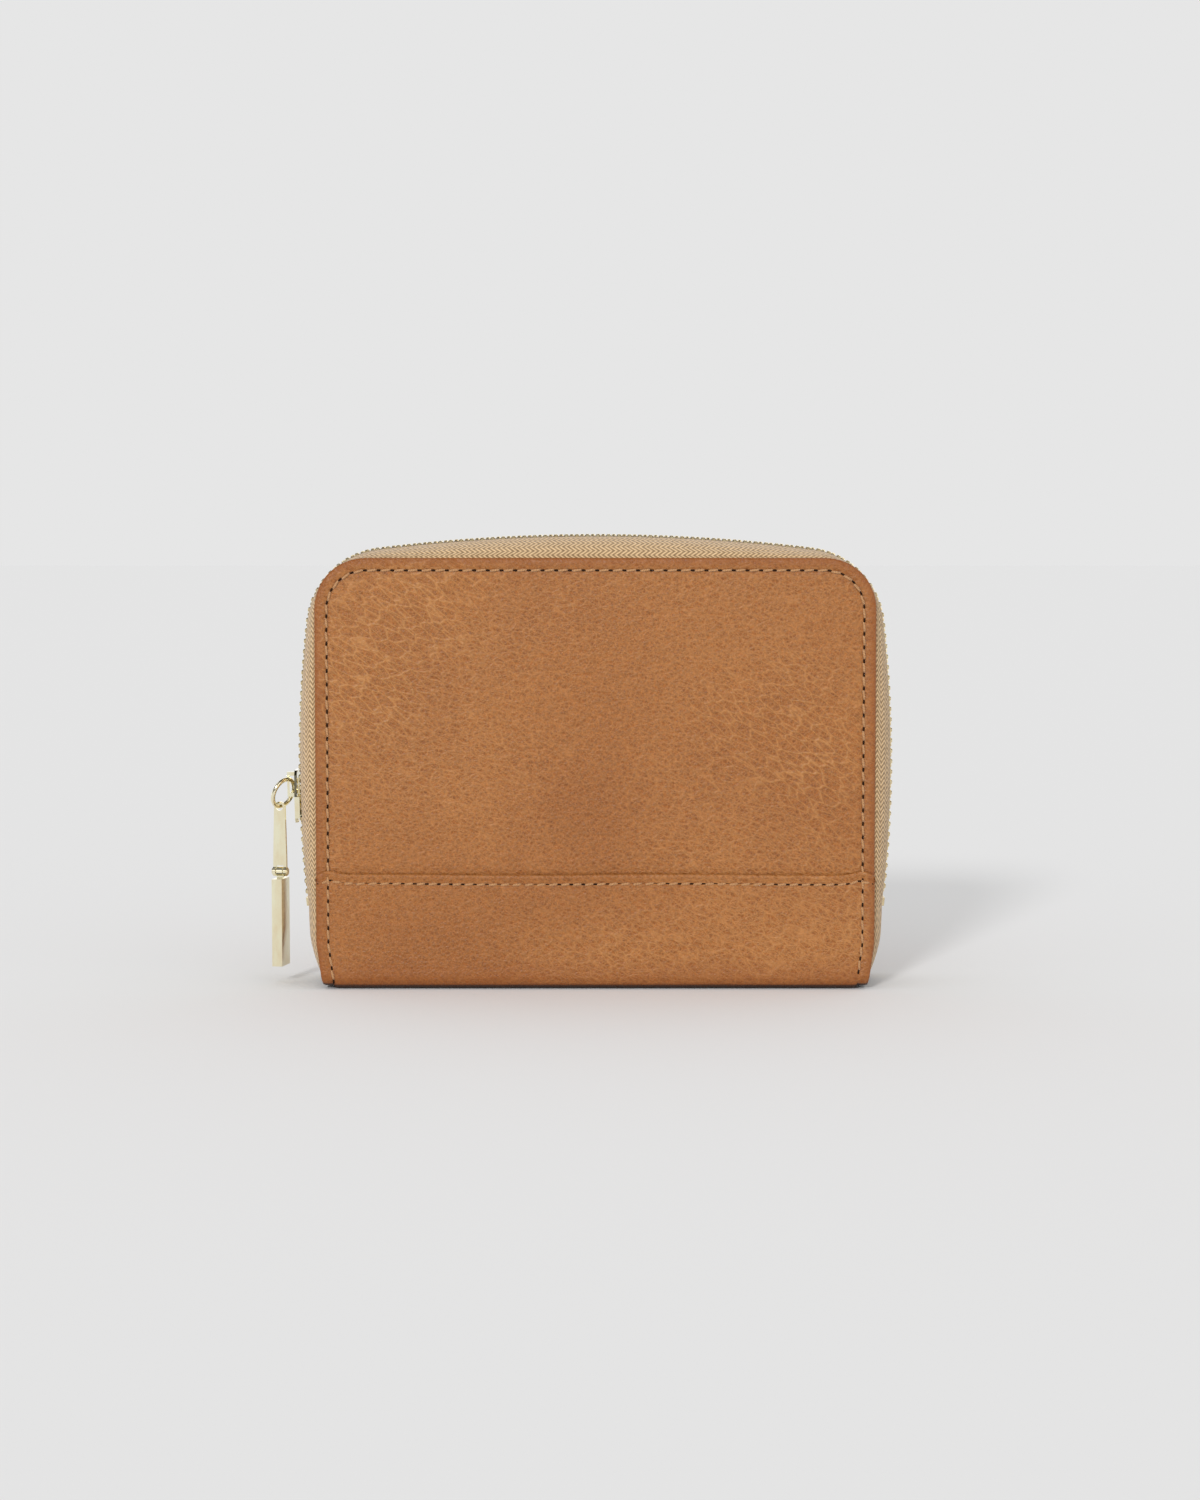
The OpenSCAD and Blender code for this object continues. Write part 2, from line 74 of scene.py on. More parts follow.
# ---------------------------------------------------------------- materials
class Nodes:
    """Short names for building a node tree."""

    def __init__(self, name):
        self.mat = bpy.data.materials.new(name)
        self.mat.use_nodes = True
        self.tree = self.mat.node_tree
        self.shader = self.tree.nodes["Principled BSDF"]

    def add(self, kind, **settings):
        made = self.tree.nodes.new(kind)
        for key, value in settings.items():
            setattr(made, key, value)
        return made

    def link(self, source, target):
        self.tree.links.new(source, target)

    def coords(self, scale):
        """Object coordinates in cycles per metre along each axis."""
        texture = self.add("ShaderNodeTexCoord")
        mapping = self.add("ShaderNodeMapping")
        mapping.inputs["Scale"].default_value = scale
        self.link(texture.outputs["Object"], mapping.inputs["Vector"])
        return mapping.outputs["Vector"]

    def slanted(self, scale, turn):
        """Object coordinates turned about Y by so many degrees, then in cycles per metre along each axis."""
        texture = self.add("ShaderNodeTexCoord")
        mapping = self.add("ShaderNodeMapping", vector_type="TEXTURE")
        mapping.inputs["Scale"].default_value = [1 / v for v in scale]
        mapping.inputs["Rotation"].default_value = (0, math.radians(turn), 0)
        self.link(texture.outputs["Object"], mapping.inputs["Vector"])
        return mapping.outputs["Vector"]

    def noise(self, vector, scale=1.0, detail=3.0, rough=0.55):
        made = self.add("ShaderNodeTexNoise")
        made.inputs["Scale"].default_value = scale
        made.inputs["Detail"].default_value = detail
        made.inputs["Roughness"].default_value = rough
        self.link(vector, made.inputs["Vector"])
        return made

    def even(self, scale, detail=3.0, rough=0.55):
        """Noise of the same scale along every axis, in cycles per metre."""
        return self.noise(self.coords((scale, scale, scale)), 1.0, detail, rough).outputs["Fac"]

    def math(self, operation, a, b=0.0, c=0.0):
        made = self.add("ShaderNodeMath", operation=operation)
        for socket, value in zip(made.inputs, (a, b, c)):
            if isinstance(value, (int, float)):
                socket.default_value = value
            else:
                self.link(value, socket)
        return made.outputs[0]

    def ramp(self, source, stops):
        made = self.add("ShaderNodeValToRGB")
        elements = made.color_ramp.elements
        while len(elements) < len(stops):
            elements.new(0.5)
        for element, (place, colour) in zip(elements, stops):
            element.position = place
            element.color = (*colour, 1)
        self.link(source, made.inputs["Fac"])
        return made.outputs["Color"]

    def mix(self, kind, factor, a, b):
        made = self.add("ShaderNodeMix", data_type="RGBA", blend_type=kind)
        for socket, value in ((made.inputs["Factor"], factor), (made.inputs["A"], a), (made.inputs["B"], b)):
            if isinstance(value, (int, float)):
                socket.default_value = value
            elif isinstance(value, tuple):
                socket.default_value = (*value, 1)
            else:
                self.link(value, socket)
        return made.outputs["Result"]

    def bump(self, height, depth_mm, strength=1.0, normal=None):
        made = self.add("ShaderNodeBump")
        made.inputs["Strength"].default_value = strength
        made.inputs["Distance"].default_value = depth_mm * MM
        self.link(height, made.inputs["Height"])
        if normal is not None:
            self.link(normal, made.inputs["Normal"])
        return made.outputs["Normal"]

    def attribute(self, name):
        return self.add("ShaderNodeAttribute", attribute_name=name).outputs["Fac"]

    def finish(self, colour=None, rough=None, normal=None, **constant):
        for name, source in (("Base Color", colour), ("Roughness", rough), ("Normal", normal)):
            if source is None:
                continue
            if isinstance(source, (int, float)):
                self.shader.inputs[name].default_value = source
            elif isinstance(source, tuple):
                self.shader.inputs[name].default_value = (*source, 1)
            else:
                self.link(source, self.shader.inputs[name])
        for name, value in constant.items():
            self.shader.inputs[name.replace("_", " ")].default_value = value
        return self.mat


# Crease layers of the leather: cells per metre, stretch, slant in degrees, patches per metre, most, least.
CREASES = ((640, 0.34, -58, 17, 0.95, 0.20),
           (820, 0.45, -80, 25, 0.70, 0.20),
           (1150, 0.9, 0, 30, 0.62, 0.42))


def crease_layer(n, size, stretch, turn, patch_scale, most, least):
    """Pale lines round stretched cells, stronger in some patches than in others."""
    slanted = n.slanted((size, size, size * stretch), turn)
    bend = n.noise(slanted, 0.4, 3, 0.6)
    bent = n.mix("ADD", 1.0, slanted, bend.outputs["Color"])
    net = n.add("ShaderNodeTexVoronoi", feature="DISTANCE_TO_EDGE")
    net.inputs["Scale"].default_value = 1.0
    n.link(bent, net.inputs["Vector"])
    crease = n.ramp(net.outputs["Distance"], [(0.0, (1, 1, 1)), (0.06, (0.5,) * 3), (0.15, (0, 0, 0))])
    patch = n.ramp(n.even(patch_scale, 2, 0.5), [(0.36, (least,) * 3), (0.66, (most,) * 3)])
    return n.math("MULTIPLY", crease, patch)


def leather_material(name, base, light, deep, creases=1.0):
    """Pebbled leather: fine grain, pale creases of three sizes, darker turned edges, a band darker towards
    its foot and painted shade on its underside.
    """
    n = Nodes(name)
    here = n.coords((1, 1, 1))
    grain = n.add("ShaderNodeTexVoronoi", feature="F1")
    grain.inputs["Scale"].default_value = 1150
    warp = n.noise(here, 900, 2)
    n.link(n.mix("ADD", 0.0006, here, warp.outputs["Color"]), grain.inputs["Vector"])
    fine = n.noise(here, 2600, 4, 0.7).outputs["Fac"]
    lines = 0.0
    for layer in CREASES:
        lines = n.math("MAXIMUM", lines, crease_layer(n, *layer))
    lines = n.math("MULTIPLY", lines, creases)
    cloud = n.even(30, 3, 0.5)
    colour = n.mix("MIX", n.ramp(cloud, [(0.30, (0, 0, 0)), (0.70, (1, 1, 1))]), deep, base)
    speck = n.ramp(fine, [(0.35, (0.72,) * 3), (0.65, (1.22,) * 3)])
    colour = n.mix("MULTIPLY", 1.0, colour, speck)
    pit = n.ramp(grain.outputs["Distance"], [(0.15, (0.84,) * 3), (0.7, (1.12,) * 3)])
    colour = n.mix("MULTIPLY", 1.0, colour, pit)
    colour = n.mix("MIX", n.math("MULTIPLY", lines, 0.62), colour, light)
    # The attribute says how worn a turned edge is, and on the band how much darker it grows towards the foot,
    # up to 1; what it holds past 1 is painted shade on the underside, where the band meets the floor.
    edge = n.attribute("edge")
    edge_colour = tuple(c * f for c, f in zip(deep, (0.92, 0.78, 0.62)))
    colour = n.mix("MIX", n.math("MULTIPLY", edge, 0.72), colour, edge_colour)
    # Painted shade: past 1 the colour goes towards a near-black brown, standing in for the shadow under the
    # band at the floor.
    under = n.math("MULTIPLY", n.math("MAXIMUM", n.math("SUBTRACT", edge, 1.0), 0.0), 2.3)
    colour = n.mix("MIX", under, colour, tuple(c * 0.06 for c in deep))
    normal = n.bump(n.math("MULTIPLY", grain.outputs["Distance"], -1.0), 0.14, 0.9)
    normal = n.bump(fine, 0.05, 0.6, normal)
    normal = n.bump(lines, 0.12, 0.9, normal)
    rough = n.math("MULTIPLY_ADD", cloud, 0.14, 0.38)
    return n.finish(colour, rough, normal, Specular_IOR_Level=0.42)


def weave_material(name, dark, light):
    """Herringbone tape: ribs along the strip, slanted picks that turn at each rib, with painted shade in the
    valleys between ribs and on the corded edge beside the teeth. UVs are in metres.
    """
    n = Nodes(name)
    uv = n.add("ShaderNodeUVMap", uv_map="strip")
    parts = n.add("ShaderNodeSeparateXYZ")
    n.link(uv.outputs["UV"], parts.inputs[0])
    run, across = parts.outputs[0], parts.outputs[1]
    rib, pick = 1.5, 1.15    # width of a rib and pitch of the picks, in millimetres
    ribs = n.math("PINGPONG", n.math("DIVIDE", across, rib * MM), 1.0)
    slant = n.math("MULTIPLY_ADD", ribs, 0.95 * rib / pick, n.math("DIVIDE", run, pick * MM))
    picks = n.math("SINE", n.math("MULTIPLY", slant, math.tau))
    valley = n.math("PINGPONG", n.math("DIVIDE", across, rib * MM), 0.5)
    fuzz = n.even(900, 3, 0.65)
    tone = n.math("MULTIPLY_ADD", picks, 0.34, 0.52)
    tone = n.math("ADD", tone, n.math("MULTIPLY_ADD", fuzz, 0.5, -0.25))
    colour = n.mix("MIX", tone, dark, light)
    # Painted shade: the valleys between the ribs are darkened.
    soft = n.ramp(valley, [(0.0, (0.86,) * 3), (0.3, (1, 1, 1))])
    colour = n.mix("MULTIPLY", 1.0, colour, soft)
    # Painted shade: the corded edge beside the teeth is darkened, standing in for the shade between the
    # teeth.
    cord = n.math("MULTIPLY", n.math("GREATER_THAN", across, (TAPE_W - TAPE_CORD) * MM), 0.6)
    colour = n.mix("MIX", cord, colour, tuple(c * 0.4 for c in dark))
    height = n.math("ADD", n.math("MULTIPLY", picks, 0.5), n.math("MULTIPLY", valley, 0.8))
    normal = n.bump(height, 0.18, 0.9)
    normal = n.bump(fuzz, 0.04, 0.5, normal)
    return n.finish(colour, 0.86, normal, Sheen_Weight=0.25, Specular_IOR_Level=0.2)


def cloth_material(name, dark, light):
    """Plain woven lining from two crossed sets of threads."""
    n = Nodes(name)
    here = n.add("ShaderNodeSeparateXYZ")
    n.link(n.coords((1, 1, 1)), here.inputs[0])
    thread_pitch = 0.45
    turns = math.tau / (thread_pitch * MM)
    warp = n.math("SINE", n.math("MULTIPLY", n.math("ADD", here.outputs[0], here.outputs[1]), turns))
    weft = n.math("SINE", n.math("MULTIPLY", here.outputs[2], turns))
    cross = n.math("MULTIPLY", warp, weft)
    tone = n.math("MULTIPLY_ADD", cross, 0.22, n.even(60, 4))
    colour = n.mix("MIX", tone, dark, light)
    normal = n.bump(cross, 0.05, 0.6)
    normal = n.bump(n.even(1400), 0.03, 0.5, normal)
    return n.finish(colour, 0.8, normal, Sheen_Weight=0.2, Specular_IOR_Level=0.25)


def metal_material(name, base, shade, rough):
    """Plated metal with faint brushing, handling marks and a varied gloss."""
    n = Nodes(name)
    wear = n.noise(n.coords((500, 500, 160)), 1.0, 4, 0.6)
    scratch = n.noise(n.coords((3000, 3000, 220)), 1.0, 2)
    colour = n.mix("MIX", n.ramp(wear.outputs["Fac"], [(0.35, (0, 0, 0)), (0.75, (1, 1, 1))]), base, shade)
    gloss = n.math("MULTIPLY_ADD", wear.outputs["Fac"], 0.10, rough)
    normal = n.bump(scratch.outputs["Fac"], 0.006, 0.35)
    return n.finish(colour, gloss, normal, Metallic=1.0)


def thread_material(name, dark, light):
    """Twisted thread: slanted plies from the run of each stitch."""
    n = Nodes(name)
    uv = n.add("ShaderNodeUVMap", uv_map="strip")
    parts = n.add("ShaderNodeSeparateXYZ")
    n.link(uv.outputs["UV"], parts.inputs[0])
    ply_pitch = 0.55
    ply = n.math("MULTIPLY_ADD", parts.outputs[0], 1 / (ply_pitch * MM), parts.outputs[1])
    twist = n.math("SINE", n.math("MULTIPLY", ply, math.tau))
    tone = n.math("MULTIPLY_ADD", twist, 0.3, n.even(2500, 2))
    colour = n.mix("MIX", tone, dark, light)
    return n.finish(colour, 0.62, n.bump(twist, 0.05, 0.8), Sheen_Weight=0.3)


def plain_material(name, dark, light):
    """A quiet surface with fibre-scale variation, for card and the painted shade of the needle holes."""
    n = Nodes(name)
    fibre = n.even(700, 4)
    colour = n.mix("MIX", fibre, dark, light)
    return n.finish(colour, 0.9, n.bump(fibre, 0.03, 0.5), Specular_IOR_Level=0.2)


LEATHER = leather_material("tan_leather", (0.330, 0.110, 0.019), (0.60, 0.290, 0.095), (0.275, 0.086, 0.013))
INNER = leather_material("inner_leather", (0.32, 0.115, 0.028), (0.50, 0.25, 0.10), (0.27, 0.09, 0.020), 0.5)
TAPE = weave_material("zip_tape", (0.16, 0.088, 0.036), (0.90, 0.63, 0.35))
CLOTH = cloth_material("lining_cloth", (0.42, 0.29, 0.18), (0.66, 0.50, 0.35))
GOLD = metal_material("light_gold", (0.970, 0.926, 0.687), (0.88, 0.74, 0.48), 0.05)
TEETH = metal_material("gold_teeth", (0.93, 0.80, 0.52), (0.70, 0.52, 0.27), 0.20)
THREAD = thread_material("thread", (0.34, 0.145, 0.045), (0.66, 0.36, 0.15))
# Painted shade: near-black for the inside of the needle holes.
HOLE_SHADE = plain_material("needle_hole_shade", (0.030, 0.011, 0.004), (0.07, 0.026, 0.010))
CARD = plain_material("card_board", (0.26, 0.22, 0.17), (0.40, 0.35, 0.28))


# ---------------------------------------------------------------- mesh helpers
def mesh_piece(name, points, faces, material, edge=None, uvs=None, smooth=True):
    """A mesh object from points in millimetres, with the edge wear (on the band also its darkening towards
    the foot and the painted shade of its underside) and strip UVs its material reads.
    """
    mesh = bpy.data.meshes.new(name)
    mesh.from_pydata([tuple(c * MM for c in p) for p in points], [], faces)
    mesh.validate()
    wear = mesh.attributes.new("edge", "FLOAT", "POINT")
    if edge is not None:
        wear.data.foreach_set("value", edge)
    layer = mesh.uv_layers.new(name="strip")
    if uvs is not None:
        for loop in mesh.loops:
            u, v = uvs[loop.vertex_index]
            layer.data[loop.index].uv = (u * MM, v * MM)
    tidy = bmesh.new()
    tidy.from_mesh(mesh)
    bmesh.ops.recalc_face_normals(tidy, faces=tidy.faces)
    tidy.to_mesh(mesh)
    tidy.free()
    mesh.materials.append(material)
    mesh.polygons.foreach_set("use_smooth", [smooth] * len(mesh.polygons))
    made = bpy.data.objects.new(name, mesh)
    bpy.context.scene.collection.objects.link(made)
    return made


def settle(piece, body, slot, *replaced):
    """Rides the piece on its body and hides the CAD nodes that it stands for. The slot argument is not used.
    """
    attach(piece, body)
    if replaced:
        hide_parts(*replaced)
    return piece


def half_at(z):
    """Half the cover's width at height z, narrower below the taper."""
    if z >= TAPER_H:
        return SIDE
    return BOTTOM_HALF + (SIDE - BOTTOM_HALF) * max(z, 0) / TAPER_H


def loop_points(rect, top_r, foot_r, inset, straight=(44, 30), corner=10):
    """Rounded rectangle in X and Z drawn in by inset, always with the same number of points."""
    x0, x1, z0, z1 = rect
    x0, x1, z0, z1 = x0 + inset, x1 - inset, z0 + inset, z1 - inset
    rt, rf = max(top_r - inset, 0.6), max(foot_r - inset, 0.6)
    corners = (((x1 - rt, z1 - rt), rt, 90, 0), ((x1 - rf, z0 + rf), rf, 0, -90),
               ((x0 + rf, z0 + rf), rf, -90, -180), ((x0 + rt, z1 - rt), rt, 180, 90))
    made = []
    for k, ((cx, cz), r, a0, a1) in enumerate(corners):
        arc = [math.radians(a0 + (a1 - a0) * i / corner) for i in range(corner + 1)]
        made += [(cx + r * math.cos(a), cz + r * math.sin(a)) for a in arc]
        (next_x, next_z), next_r, next_a, _ = corners[(k + 1) % 4]
        next_a = math.radians(next_a)
        end = (next_x + next_r * math.cos(next_a), next_z + next_r * math.sin(next_a))
        start, count = made[-1], straight[(k + 1) % 2]
        made += [(start[0] + (end[0] - start[0]) * i / count, start[1] + (end[1] - start[1]) * i / count)
                 for i in range(1, count)]
    return made


# Turned edge of a cover: inset from the edge, then height over the face or, below it, share of the thickness.
COVER_EDGE = ((1.6, -1.15), (0.35, -1.12), (0.05, -0.95), (0.0, -0.7), (0.03, -0.42), (0.18, -0.17),
              (0.45, -0.02), (0.9, 0.10), (1.5, 0.14), (2.1, 0.08), (2.55, -0.04), (2.9, -0.12),
              (3.25, -0.04), (3.8, 0.02), (4.8, 0.04), (6.5, 0.02))
# The same for the thin sheets inside.
THIN_EDGE = ((0.8, -1.0), (0.12, -0.97), (0.0, -0.6), (0.05, -0.25), (0.2, -0.03), (0.6, 0.06),
             (1.2, 0.04), (1.8, -0.06), (2.3, 0.0), (3.5, 0.0))


def sheet_piece(name, rect, radii, face, out, thick, profile, material, swell, lumps):
    """A sheet in the XZ plane with a turned edge and a softly uneven middle; out is -1 towards the front."""
    limit = min(rect[1] - rect[0], rect[3] - rect[2]) / 2 - 1
    rings = list(profile)
    inset = rings[-1][0] * 1.5
    while inset < limit:
        rings.append((inset, 0.0))
        inset += max(2.5, inset * 0.22)
    points, faces, wear = [], [], []
    for d, h in rings:
        for x, z in loop_points(rect, *radii, d):
            fade = min(1, max(0, (d - 3.5) / 8))
            bulk = fade * (swell + lumps * noise.noise(Vector((x / 17, z / 13, face))))
            level = h * thick if h < 0 else h
            points.append((x, out * (face + level + bulk), z))
            wear.append(max(0, 1 - d / EDGE_WEAR))
    count = len(points) // len(rings)
    for k in range(len(rings) - 1):
        for j in range(count):
            a, b = k * count + j, k * count + (j + 1) % count
            faces.append((a, b, b + count, a + count))
    faces.append(tuple(range(count)))
    faces.append(tuple(reversed(range((len(rings) - 1) * count, len(rings) * count))))
    return mesh_piece(name, points, faces, material, wear)


def stitches(name, run, out, pitch, body, holes=True):
    """Thread from needle hole to needle hole; the run is the list of the holes' (x, y, z) places."""
    sides, rings = 6, 5
    end_gap, slip, sunk, arch = 0.15, 0.13, 0.10, 0.26
    points, faces, uvs = [], [], []
    outward = Vector((0, out, 0))
    run = [Vector(place) for place in run]
    for k, (a, b) in enumerate(zip(run, run[1:])):
        along = b - a
        tilt = along.cross(outward).normalized()
        a, b = a + along * end_gap + tilt * slip, b - along * end_gap - tilt * slip
        base = len(points)
        for i in range(rings):
            f = i / (rings - 1)
            swell = math.sin(math.pi * (0.12 + 0.76 * f))
            centre = a.lerp(b, f) + outward * (arch * swell - sunk)
            radius = THREAD_R * (0.6 + 0.4 * swell)
            for j in range(sides):
                t = math.tau * j / sides
                points.append(centre + (tilt * math.cos(t) + outward * math.sin(t) * 0.8) * radius)
                uvs.append((k * pitch + f * pitch, j / sides / MM))
        for i in range(rings - 1):
            for j in range(sides):
                p, q = base + i * sides + j, base + i * sides + (j + 1) % sides
                faces.append((p, q, q + sides, p + sides))
        faces.append(tuple(base + j for j in range(sides)))
        faces.append(tuple(base + (rings - 1) * sides + j for j in reversed(range(sides))))
    settle(mesh_piece(name, points, faces, THREAD, None, uvs), body, "leather")
    if holes:
        needle_holes(name + "_holes", run, outward, body)


def needle_holes(name, run, outward, body):
    """A dimple at each place of the run, drawn out along the seam and painted near-black as the shade in the
    hole.
    """
    points, faces = [], []
    for k, place in enumerate(run):
        ahead, behind = run[min(k + 1, len(run) - 1)], run[max(k - 1, 0)]
        add_hole(points, faces, place, (ahead - behind).normalized(), outward)
    settle(mesh_piece(name, points, faces, HOLE_SHADE), body, "leather")


def add_hole(points, faces, place, along, outward):
    """A small dimple that marks a needle hole, drawn out along the seam and dished inwards."""
    sides, base = 8, len(points)
    across = along.cross(outward)
    for long_half, half, height in ((0.62, 0.25, 0.08), (0.36, 0.13, 0.05)):
        for j in range(sides):
            t = math.tau * j / sides
            rim = place + along * math.cos(t) * long_half + across * math.sin(t) * half
            points.append(rim + outward * height)
    points.append(place)
    for j in range(sides):
        a, b = base + j, base + (j + 1) % sides
        faces.append((a, b, b + sides, a + sides))
        faces.append((a + sides, b + sides, base + 2 * sides))
    faces.append(tuple(base + j for j in reversed(range(sides))))


def spaced(path, pitch):
    """Places at even pitch along a list of points."""
    made, left = [Vector(path[0])], pitch
    for a, b in zip(path, path[1:]):
        a, b = Vector(a), Vector(b)
        length = (b - a).length
        while left <= length:
            made.append(a.lerp(b, left / length))
            left += pitch
        left -= length
    return made


# ---------------------------------------------------------------- covers
COVER_FOOT = BAND_H - 3.5   # the cover leather starts under the band's fold
FOOT_R = 1.0                # its lower corners
CREST = 0.14                # height of the turned edge's crest over the sheet


def cover_face(z):
    """Distance of the leather's outer face from the middle plane at height z."""
    return BAND_FACE if z < BAND_H + 0.1 else FACE


def cover_leather(name, out, body, node):
    """The leather of one cover above the band; its crest stands level with the CAD face."""
    rect = (-SIDE, SIDE, COVER_FOOT, PANEL_H)
    made = sheet_piece(name, rect, (CORNER_R, FOOT_R), FACE - CREST, out, FACE - INNER_LEATHER - CREST,
                       COVER_EDGE, LEATHER, swell=0.1, lumps=0.1)
    settle(made, body, "leather", node)


def cover_stitches(name, out, body):
    """One line of stitches up one side, over the top and down the other."""
    x, r, top = SIDE - SEAM_IN, CORNER_R - SEAM_IN, PANEL_H - SEAM_IN
    heights = (2.0, 4, 7, TAPER_H, 20, 26, BAND_H - 0.4, BAND_H + 0.4, 60)
    path = [(-x * half_at(z) / SIDE, z) for z in heights]
    corner = [math.radians(180 - 9 * k) for k in range(11)]
    path += [(-x + r + r * math.cos(a), top - r + r * math.sin(a)) for a in corner]
    path += [(-px, pz) for px, pz in reversed(path)]
    run = spaced([(px, 0, pz) for px, pz in path], STITCH)
    places = [(p.x, out * (cover_face(p.z) - 0.12), p.z) for p in run]
    stitches(name, places, out, STITCH, body)


# ---------------------------------------------------------------- band round the foot
FOLD_R = 3.2             # rounding of the band under the front and back
BAND_T = 1.0             # thickness of the band leather


def fold_height(x):
    """Height of the band's folded edge: level, with a lift where the side stitching pulls it up."""
    crossing = abs(x) - (SIDE - SEAM_IN)
    pull, reach, droop = 0.9, 2.6, 0.5
    lift = pull * math.exp(-(crossing / reach) ** 2) - droop * max(0.0, crossing) / SEAM_IN
    return BAND_H - 0.35 + lift + 0.12 * math.sin(x / 11)


def band_section(fold):
    """Outer profile of the band from the front fold under the wallet to the back fold, as (y, z)."""
    proud = BAND_FACE + 0.32     # the fold stands this far out
    made = [(-proud + 1.05, fold - 0.75), (-proud + 0.75, fold - 0.25), (-proud + 0.40, fold),
            (-proud + 0.10, fold - 0.16), (-proud, fold - 0.6), (-proud + 0.08, fold - 1.3),
            (-BAND_FACE + 0.06, fold - 2.1), (-BAND_FACE - 0.04, fold - 3.0), (-BAND_FACE, fold - 4.2)]
    made += [(-BAND_FACE, z) for z in (20, 17, 14, 11, 8.5, 6.5, 5, 3.6)]
    arc = [math.radians(180 + 15 * k) for k in range(7)]
    made += [(-BAND_FACE + FOLD_R + FOLD_R * math.cos(a), FOLD_R + FOLD_R * math.sin(a)) for a in arc]
    made += [(y, 0.0) for y in (-9, -6, -3)]
    return made + [(0.0, 0.0)] + [(-y, z) for y, z in reversed(made)]


def band_leather():
    """The folded band, one sheet from the front fold to the back fold, with turned side edges."""
    turned = ((0.0, -0.5), (0.03, -0.35), (0.18, -0.15), (0.45, -0.02), (0.9, 0.08), (1.5, 0.10),
              (2.1, 0.04), (2.55, -0.06), (2.9, -0.14), (3.25, -0.06), (3.8, 0.0), (4.8, 0.02), (6.5, 0.0))
    column_gap, deepest = 3.0, 9.0
    # The band grows darker towards the foot; below under_h the value passes 1, which paints shade on the
    # underside where it meets the floor.
    foot_h, foot_darkening, under_h, painted_under_shade, most = 8.0, 0.9, 1.3, 0.55, 1.38
    columns = [(-SIDE + d, h, d) for d, h in turned]
    columns += [(column_gap * i, 0.0, deepest) for i in range(-19, 20)]
    columns += [(SIDE - d, h, d) for d, h in reversed(turned)]
    outer, under_side, wear, faces = [], [], [], []
    rows = len(band_section(BAND_H))
    for x, h, d in columns:
        section = band_section(fold_height(x))
        for k, (y, z) in enumerate(section):
            a, b = section[max(k - 1, 0)], section[min(k + 1, rows - 1)]
            normal = Vector((b[1] - a[1], a[0] - b[0])).normalized()
            under = max(0.0, 1 - z / 3.0)
            bulk = h * (1 - 0.6 * under) - under * (0.7 if d < 2.7 else 0.0)
            bulk += min(1, d / deepest) * 0.10 * noise.noise(Vector((x / 19, z / 9, y / 15)))
            if z < 1.0 or abs(y) < BAND_FACE - FOLD_R:
                bulk = min(bulk, 0.0)
            place = x * half_at(z) / SIDE
            outer.append((place, y + normal.x * bulk, z + normal.y * bulk))
            depth = bulk - BAND_T
            under_side.append((place, y + normal.x * depth, z + normal.y * depth))
            # Painted shade: the extra for the lowest part lifts the value past 1, darkening the underside
            # towards near-black.
            low = max(0.0, 1 - z / foot_h) * foot_darkening + (painted_under_shade if z < under_h else 0.0)
            wear.append(min(most, max(0, 1 - d / EDGE_WEAR, low)))
    count, total = len(columns), len(outer)
    for i in range(count - 1):
        for k in range(rows - 1):
            a = i * rows + k
            quad = (a, a + 1, a + rows + 1, a + rows)
            faces += [quad, tuple(v + total for v in reversed(quad))]
    rim = [i * rows for i in range(count)] + [(count - 1) * rows + k for k in range(1, rows)]
    rim += [i * rows + rows - 1 for i in reversed(range(count - 1))] + list(reversed(range(1, rows - 1)))
    for a, b in zip(rim, rim[1:] + rim[:1]):
        faces.append((a, b, b + total, a + total))
    made = mesh_piece("band_leather", outer + under_side, faces, LEATHER, wear + wear)
    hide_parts("front_band", "spine_strip", "back_band")
    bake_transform(made)


def band_stitches(name, out, body):
    """The line of stitches under the band's fold."""
    half = SIDE - 0.9
    below_fold, steps = 2.3, 60
    across = [half * i / steps for i in range(-steps, steps + 1)]
    path = [(x, 0, fold_height(x) - below_fold) for x in across]
    places = [(p.x, out * (BAND_FACE - 0.10), p.z) for p in spaced(path, BAND_STITCH)]
    stitches(name, places, out, BAND_STITCH, body)


# ---------------------------------------------------------------- zip
# The chain bulges past the covers in three arcs: the top, a corner and the side.
SIDE_R, TOP_R, CHAIN_R = 300.0, 420.0, 19.0
SIDE_BULGE, SIDE_MID, TOP_BULGE = 4.2, 52.0, 4.7
SIDE_C = Vector((SIDE + SIDE_BULGE - SIDE_R, SIDE_MID))
TOP_C = Vector((0.0, PANEL_H + TOP_BULGE - TOP_R))
TEETH_END, TAPE_END = 19.0, 3.6   # heights where the teeth and the tapes end
CHAIN_Y = 1.9                     # the tapes' corded edges stand this far from the middle plane
TOOTH_PITCH = 2.5
TOOTH_Y = 0.42                    # a tooth is drawn from this far from the middle plane


def corner_centre():
    """Centre of the corner arc that touches both long curves."""
    reach_side, reach_top = SIDE_R - CHAIN_R, TOP_R - CHAIN_R
    toward = TOP_C - SIDE_C
    apart = toward.length
    toward /= apart
    along = (reach_side ** 2 - reach_top ** 2 + apart ** 2) / (2 * apart)
    across = math.sqrt(reach_side ** 2 - along ** 2)
    return SIDE_C + toward * along + Vector((-toward.y, toward.x)) * across


CORNER_C = corner_centre()
TOP_A = math.atan2(CORNER_C.y - TOP_C.y, CORNER_C.x - TOP_C.x)
SIDE_A = math.atan2(CORNER_C.y - SIDE_C.y, CORNER_C.x - SIDE_C.x)
END_A = math.asin((TEETH_END - SIDE_C.y) / SIDE_R)
TOP_LEN = (math.pi / 2 - TOP_A) * TOP_R
CORNER_LEN = (TOP_A - SIDE_A) * CHAIN_R
SIDE_LEN = (SIDE_A - END_A) * SIDE_R
CHAIN_LEN = TOP_LEN + CORNER_LEN + SIDE_LEN


